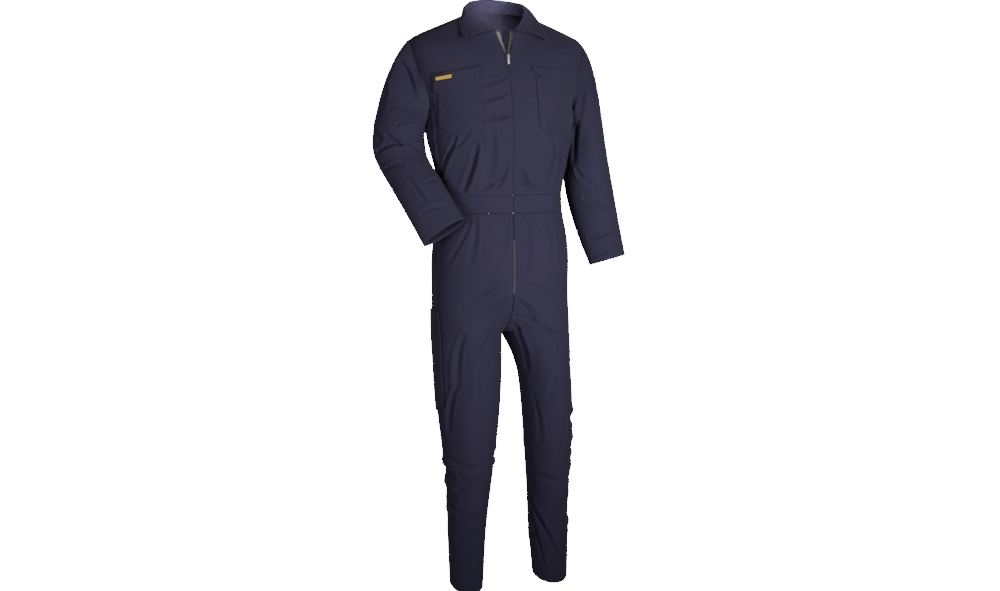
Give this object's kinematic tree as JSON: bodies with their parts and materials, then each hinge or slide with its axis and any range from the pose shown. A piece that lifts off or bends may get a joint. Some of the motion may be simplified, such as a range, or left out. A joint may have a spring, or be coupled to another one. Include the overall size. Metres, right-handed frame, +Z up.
{
  "type": "boiler suit",
  "caption": "Long-sleeved one-piece boiler suit in its worn form, with front zip, pointed collar, waistband, flapped chest pockets, slant hip pockets and a tool pocket on one leg.",
  "frame": {"origin": "middle of the neck opening at the height of the shoulder seams' neck ends, where the wearer holds the suit up", "axes": "+Z up the body, -Y out of the front, +X towards the wearer's left"},
  "size_m": [0.7008, 0.2958, 1.6176],
  "materials": {
    "navy_twill": "matt twill weave",
    "label": "woven label, bare",
    "zip_tape": "woven tape",
    "zip_teeth": "dull brass",
    "zip_metal": "satin nickel"
  },
  "bodies": {
    "garment": {"front_right": "navy_twill", "front_left": "navy_twill", "back": "navy_twill", "sleeve_right": "navy_twill", "under_sleeve_right": "navy_twill", "sleeve_left": "navy_twill", "under_sleeve_left": "navy_twill", "collar": "navy_twill", "waistband_right": "navy_twill", "waistband_left": "navy_twill", "waistband_back": "navy_twill", "trouser_front_right": "navy_twill", "trouser_front_left": "navy_twill", "trouser_back_right": "navy_twill", "trouser_back_left": "navy_twill", "hip_pocket_right": "navy_twill", "hip_pocket_left": "navy_twill", "chest_pocket_right": "navy_twill", "chest_pocket_left": "navy_twill", "pocket_flap_right": "navy_twill", "pocket_flap_left": "navy_twill", "tool_pocket": "navy_twill", "label": "label", "zip_tape_right": "zip_tape", "zip_tape_left": "zip_tape", "zip_chain": "zip_teeth", "zip_slider": "zip_metal"},
    "pull_tab": {"zip_pull": "zip_metal"}
  },
  "joints": [
    {"name": "pull_tab_swing", "type": "hinge", "parent": "garment", "child": "pull_tab", "pos_m": [-0.01056, -0.1088, -0.113], "axis": [-1, 0, 0], "range_deg": [0, 150]}
  ]
}
